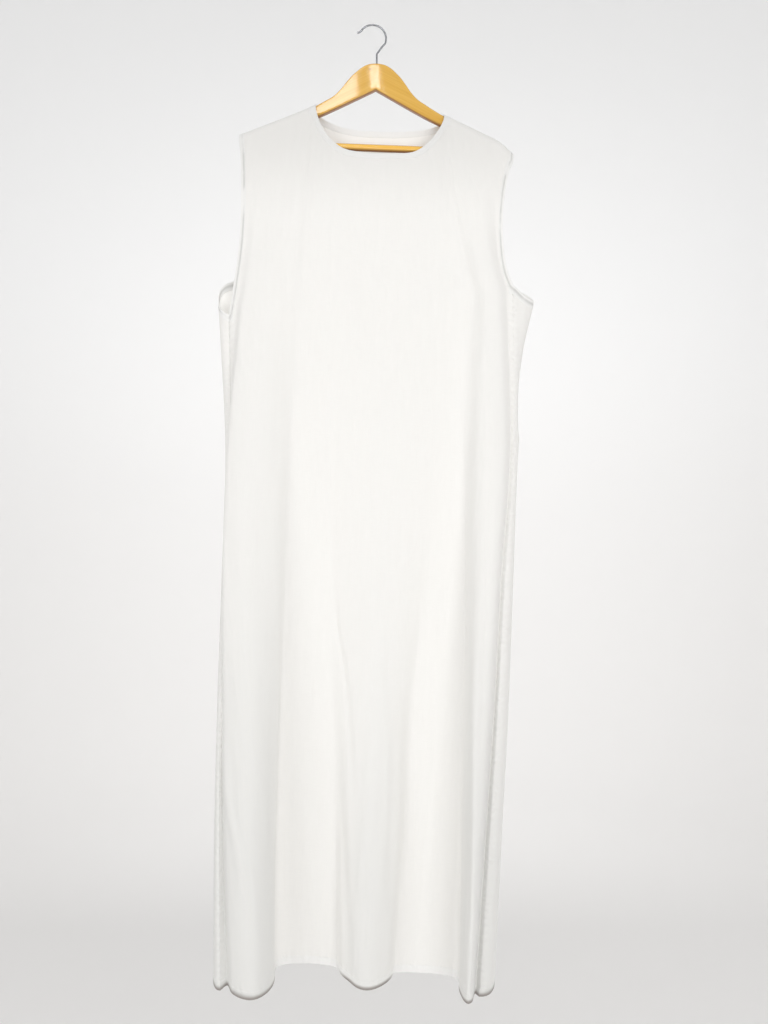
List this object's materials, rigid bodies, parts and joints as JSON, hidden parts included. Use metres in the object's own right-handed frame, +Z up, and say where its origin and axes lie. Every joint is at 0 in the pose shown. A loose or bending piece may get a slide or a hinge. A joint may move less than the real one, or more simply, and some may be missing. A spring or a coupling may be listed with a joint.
{
  "type": "under-abaya dress with hanger",
  "caption": "Long white sleeveless under-abaya dress with a round neck, hanging in soft folds from a varnished wooden hanger with a wire hook",
  "frame": {"origin": "the inside top of the wire hook's bend, where a rail or nail carries the hanger", "axes": "X to the right as seen from the front, Y away from the viewer, Z up"},
  "size_m": [0.5472, 0.1303, 1.6366],
  "materials": {
    "dress_cloth": "matte white light plain weave",
    "band_cloth": "matte white light plain weave, turned and stitched",
    "varnished_wood": "honey varnish, glossy",
    "polished_wire": "polished"
  },
  "bodies": {
    "root": {"front_panel": "dress_cloth", "back_panel": "dress_cloth", "neck_band": "band_cloth", "armhole_band_left": "band_cloth", "armhole_band_right": "band_cloth", "hanger_body": "varnished_wood", "hanger_bar": "varnished_wood", "hanger_hook": "polished_wire"}
  },
  "joints": []
}
